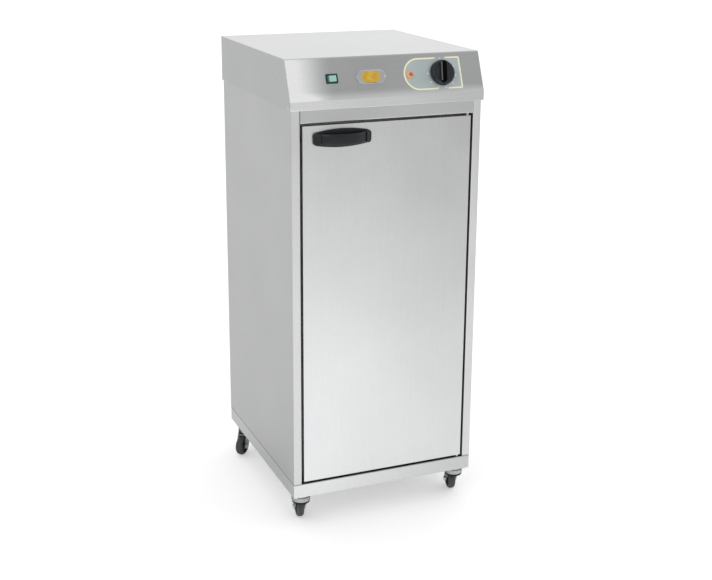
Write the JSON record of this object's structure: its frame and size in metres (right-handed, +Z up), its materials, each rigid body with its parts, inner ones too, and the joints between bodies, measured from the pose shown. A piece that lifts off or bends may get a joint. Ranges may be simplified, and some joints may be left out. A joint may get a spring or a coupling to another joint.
{
  "type": "plate warmer cabinet",
  "caption": "Upright heated cabinet on swivel casters, with a hinged door, wire shelves and a sloped hood with a switch, a pilot lamp and a thermostat knob.",
  "frame": {"origin": "on the floor under the middle of the cabinet's bounding box", "axes": "+Z up, -Y towards the door side, +X towards the hinge side"},
  "size_m": [0.4762, 0.542, 1.0785],
  "materials": {
    "stainless": "satin stainless sheet",
    "inner_steel": "plain mill-finish sheet",
    "wool": "mineral wool",
    "seal_rubber": "black silicone strip",
    "bright_wire": "bright plated wire",
    "element_steel": "dark oxidised tube",
    "white_plastic": "white moulded plastic",
    "copper": "copper tube",
    "switch_green": "dark green bezel",
    "lamp_orange": "orange lens",
    "dial_print": "printed plate",
    "badge_yellow": "plain yellow badge with a bright rim",
    "magnet_plastic": "dark catch housing",
    "wire_cover": "wire insulation",
    "black_plastic": "black moulded plastic",
    "zinc": "bright zinc plate",
    "screw_steel": "bright screw heads",
    "rocker_green": "lit green rocker",
    "core_plastic": "dark wheel core",
    "tyre_rubber": "dark grey tread"
  },
  "bodies": {
    "cabinet": {"base_frame": "stainless", "side_panel_left": "stainless", "side_panel_right": "stainless", "rear_panel": "stainless", "front_header": "stainless", "top_deck": "inner_steel", "hood": "stainless", "door_frame": "inner_steel", "liner_sides": "inner_steel", "liner_ends": "inner_steel", "liner_back": "inner_steel", "insulation": "wool", "door_seal": "seal_rubber", "shelf_uprights": "inner_steel", "shelf_clips": "inner_steel", "shelf_lower": "bright_wire", "shelf_upper": "bright_wire", "heating_element": "element_steel", "heater_guard": "inner_steel", "thermostat": "white_plastic", "thermostat_bulb": "copper", "switch_housing": "switch_green", "lamp_body": "white_plastic", "lamp_lens": "lamp_orange", "dial_plate": "dial_print", "badge_plate": "badge_yellow", "magnet_catch": "magnet_plastic", "terminal_block": "white_plastic", "wiring": "wire_cover", "cable_gland": "black_plastic", "hinge_brackets": "zinc", "panel_screws": "screw_steel", "caster_plates": "zinc", "caster_bolts": "zinc"},
    "door": {"door_skin": "stainless", "door_inner_panel": "inner_steel", "door_insulation": "wool", "door_handle": "black_plastic", "handle_screws": "screw_steel", "door_bushes": "white_plastic", "strike_plate": "zinc"},
    "knob": {"thermostat_knob": "black_plastic", "thermostat_shaft": "screw_steel"},
    "switch_rocker": {"rocker": "rocker_green"},
    "fork_front_left": {"fork_front_left": "zinc", "axle_front_left": "zinc"},
    "wheel_front_left": {"core_front_left": "core_plastic", "tyre_front_left": "tyre_rubber"},
    "fork_front_right": {"fork_front_right": "zinc", "axle_front_right": "zinc"},
    "wheel_front_right": {"core_front_right": "core_plastic", "tyre_front_right": "tyre_rubber"},
    "fork_rear_left": {"fork_rear_left": "zinc", "axle_rear_left": "zinc"},
    "wheel_rear_left": {"core_rear_left": "core_plastic", "tyre_rear_left": "tyre_rubber"},
    "fork_rear_right": {"fork_rear_right": "zinc", "axle_rear_right": "zinc"},
    "wheel_rear_right": {"core_rear_right": "core_plastic", "tyre_rear_right": "tyre_rubber"}
  },
  "joints": [
    {"name": "door_hinge", "type": "hinge", "parent": "cabinet", "child": "door", "pos_m": [0.1939, -0.2325, 0.1125], "axis": [0, 0, 1], "range_deg": [0, 110]},
    {"name": "thermostat_turn", "type": "hinge", "parent": "cabinet", "child": "knob", "pos_m": [0.131, -0.22503, 1.03493], "axis": [0, 0.9232, -0.3842], "range_deg": [0, 270]},
    {"name": "switch_press", "type": "hinge", "parent": "cabinet", "child": "switch_rocker", "pos_m": [-0.1285, -0.22503, 1.03493], "axis": [0, 0.3842, 0.9232], "range_deg": [0, 16]},
    {"name": "swivel_front_left", "type": "hinge", "parent": "cabinet", "child": "fork_front_left", "pos_m": [-0.198, -0.209, 0.0745], "axis": [0, 0, 1], "continuous": true},
    {"name": "roll_front_left", "type": "hinge", "parent": "fork_front_left", "child": "wheel_front_left", "pos_m": [-0.19259, -0.18357, 0.025], "axis": [0.9781, -0.2079, 0], "continuous": true},
    {"name": "swivel_front_right", "type": "hinge", "parent": "cabinet", "child": "fork_front_right", "pos_m": [0.198, -0.209, 0.0745], "axis": [0, 0, 1], "continuous": true},
    {"name": "roll_front_right", "type": "hinge", "parent": "fork_front_right", "child": "wheel_front_right", "pos_m": [0.20341, -0.18357, 0.025], "axis": [0.9781, -0.2079, 0], "continuous": true},
    {"name": "swivel_rear_left", "type": "hinge", "parent": "cabinet", "child": "fork_rear_left", "pos_m": [-0.198, 0.205, 0.0745], "axis": [0, 0, 1], "continuous": true},
    {"name": "roll_rear_left", "type": "hinge", "parent": "fork_rear_left", "child": "wheel_rear_left", "pos_m": [-0.2167, 0.18694, 0.025], "axis": [-0.6947, 0.7193, 0], "continuous": true},
    {"name": "swivel_rear_right", "type": "hinge", "parent": "cabinet", "child": "fork_rear_right", "pos_m": [0.198, 0.205, 0.0745], "axis": [0, 0, 1], "continuous": true},
    {"name": "roll_rear_right", "type": "hinge", "parent": "fork_rear_right", "child": "wheel_rear_right", "pos_m": [0.2167, 0.18694, 0.025], "axis": [-0.6947, -0.7193, 0], "continuous": true}
  ]
}
